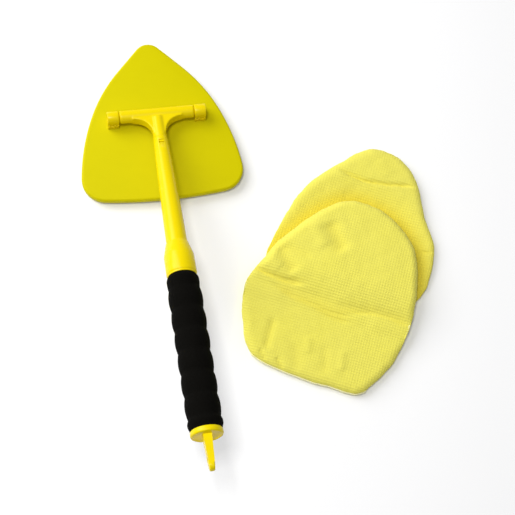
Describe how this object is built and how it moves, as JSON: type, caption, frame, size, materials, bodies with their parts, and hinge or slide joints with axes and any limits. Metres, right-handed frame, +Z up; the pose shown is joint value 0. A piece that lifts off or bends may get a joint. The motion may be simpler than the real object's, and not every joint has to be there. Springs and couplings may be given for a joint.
{
  "type": "windshield cleaning wand",
  "caption": "Windshield cleaning wand: rounded triangular head on a pivoting crossbar, tapered pole with ribbed foam grip and hanging tab, and washable waffle bonnets.",
  "frame": {"origin": "on the sole of the head, straight below the middle of the pivot axis", "axes": "+X along the pivot axis, +Y towards the tip of the head with the handle towards -Y, +Z up from the sole"},
  "size_m": [0.3227, 0.4138, 0.116],
  "materials": {
    "plate_yellow": "satin moulded polypropylene",
    "wand_yellow": "satin moulded ABS",
    "screw_steel": "zinc plated",
    "sole_foam": "closed-cell foam sheet",
    "grip_foam": "matte closed-cell foam",
    "waffle_cloth": "waffle-weave microfibre",
    "elastic_cord": "woven elastic",
    "hem_thread": "overlocked edge"
  },
  "bodies": {
    "head": {"head_plate": "plate_yellow", "pivot_clip_left": "wand_yellow", "pivot_clip_right": "wand_yellow", "clip_screws": "screw_steel", "sole_pad": "sole_foam"},
    "handle": {"crossbar_yoke": "wand_yellow", "pole": "wand_yellow", "grip_core": "wand_yellow", "foam_grip": "grip_foam", "end_cap": "wand_yellow"},
    "latch": {"pole_latch": "wand_yellow"},
    "lower_bonnet": {"lower_bonnet_face": "waffle_cloth", "lower_bonnet_skirt": "waffle_cloth", "lower_bonnet_elastic": "elastic_cord", "lower_bonnet_hem": "hem_thread"},
    "upper_bonnet": {"upper_bonnet_face": "waffle_cloth", "upper_bonnet_skirt": "waffle_cloth", "upper_bonnet_elastic": "elastic_cord", "upper_bonnet_hem": "hem_thread"}
  },
  "joints": [
    {"name": "head_pivot", "type": "hinge", "parent": "head", "child": "handle", "pos_m": [0, 0, 0.02], "axis": [1, 0, 0], "range_deg": [-164, 14]},
    {"name": "latch_press", "type": "slide", "parent": "handle", "child": "latch", "axis": [0, 0.2588, 0.9659], "range_m": [-0.0016, 0], "stiffness_N_per_m": 600, "springref_m": 0.0005},
    {"name": "lower_bonnet_lift", "type": "slide", "parent": "head", "child": "lower_bonnet", "axis": [0, 0, 1], "range_m": [0, 0.15]},
    {"name": "upper_bonnet_lift", "type": "slide", "parent": "lower_bonnet", "child": "upper_bonnet", "axis": [0, 0, 1], "range_m": [0, 0.15]}
  ]
}
